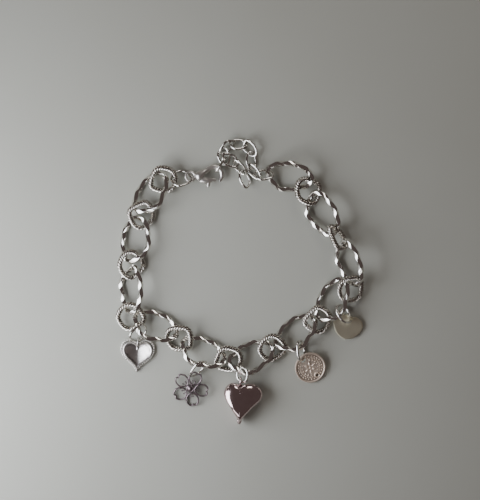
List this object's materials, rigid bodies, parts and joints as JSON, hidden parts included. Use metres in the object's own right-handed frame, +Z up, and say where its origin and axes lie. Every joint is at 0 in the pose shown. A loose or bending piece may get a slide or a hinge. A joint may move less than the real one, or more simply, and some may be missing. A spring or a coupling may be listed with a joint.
{
  "type": "charm bracelet",
  "caption": "Chain bracelet of twisted oval links and rope rings, with a lobster clasp on an extender chain and hanging charms, lying open on a table.",
  "frame": {"origin": "on the table, under the middle of the whole bracelet's box", "axes": "+X and +Y along the table, with the clasp and extender chain at +Y, +Z up"},
  "size_m": [0.0758, 0.0868, 0.0086],
  "materials": {
    "bright_plating": "polished silver-coloured plating",
    "cast_plating": "cast and plated, silver-coloured, slightly satin"
  },
  "bodies": {
    "bracelet": {"beaded_heart": "cast_plating", "beaded_heart_ring": "bright_plating", "blossom_ring": "bright_plating", "cherry_blossom": "cast_plating", "clasp_body": "cast_plating", "clasp_ring": "bright_plating", "coin_disc": "cast_plating", "disc_ring": "bright_plating", "extender_link_01": "bright_plating", "extender_link_02": "bright_plating", "extender_link_03": "bright_plating", "extender_link_04": "bright_plating", "extender_link_05": "bright_plating", "extender_link_06": "bright_plating", "extender_link_07": "bright_plating", "extender_link_08": "bright_plating", "extender_link_09": "bright_plating", "extender_link_10": "bright_plating", "joiner_link": "bright_plating", "oval_link_01": "bright_plating", "oval_link_02": "bright_plating", "oval_link_03": "bright_plating", "oval_link_04": "bright_plating", "oval_link_05": "bright_plating", "oval_link_06": "bright_plating", "oval_link_07": "bright_plating", "oval_link_08": "bright_plating", "oval_link_09": "bright_plating", "oval_link_10": "bright_plating", "oval_link_11": "bright_plating", "plain_heart": "bright_plating", "plain_heart_ring": "bright_plating", "puffy_heart": "bright_plating", "puffy_heart_ring": "bright_plating", "rope_ring_01": "bright_plating", "rope_ring_02": "bright_plating", "rope_ring_03": "bright_plating", "rope_ring_04": "bright_plating", "rope_ring_05": "bright_plating", "rope_ring_06": "bright_plating", "rope_ring_07": "bright_plating", "rope_ring_08": "bright_plating", "rope_ring_09": "bright_plating", "rope_ring_10": "bright_plating", "rope_ring_11": "bright_plating"},
    "lever": {"clasp_lever": "cast_plating"}
  },
  "joints": [
    {"name": "lever_hinge", "type": "hinge", "parent": "bracelet", "child": "lever", "pos_m": [-0.01238, 0.03141, 0.0019], "axis": [0, 0, 1], "range_deg": [0, 15], "stiffness_Nm_per_rad": 0.008, "springref_deg": -17.19}
  ]
}
